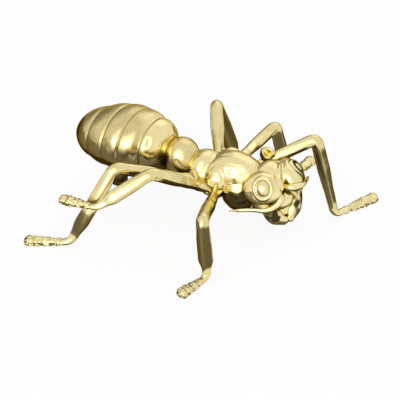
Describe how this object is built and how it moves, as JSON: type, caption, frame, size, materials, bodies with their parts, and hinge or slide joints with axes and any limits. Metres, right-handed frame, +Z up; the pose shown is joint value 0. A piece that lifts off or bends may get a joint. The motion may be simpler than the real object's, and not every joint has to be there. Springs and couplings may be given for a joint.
{
  "type": "ant figurine",
  "caption": "Cast brass ant that stands on long bent legs with beaded feet: banded gaster, bead waist, smooth thorax, and a turned head with ringed eyes, curved antennae and closed jaws.",
  "frame": {"origin": "on the ground, under the middle of the figurine's overall box", "axes": "+X along the body towards the head, +Y towards the ant's left, +Z up from the surface it stands on"},
  "size_m": [0.0642, 0.0558, 0.0224],
  "materials": {
    "polished_brass": "bright polished brass, pale gold on top, with darker tarnish in the seams and under the body",
    "plain_brass": "unpolished brass rod"
  },
  "bodies": {
    "root": {"thorax": "polished_brass", "head": "polished_brass", "petiole": "polished_brass", "gaster": "polished_brass", "right_eye": "polished_brass", "left_eye": "polished_brass", "right_antenna": "polished_brass", "left_antenna": "polished_brass", "right_mandible": "polished_brass", "left_mandible": "polished_brass", "right_front_leg": "polished_brass", "right_middle_leg": "polished_brass", "right_rear_leg": "polished_brass", "left_front_leg": "polished_brass", "left_middle_leg": "polished_brass", "left_rear_leg": "polished_brass", "waist_pin": "plain_brass", "neck_pin": "plain_brass"}
  },
  "joints": []
}
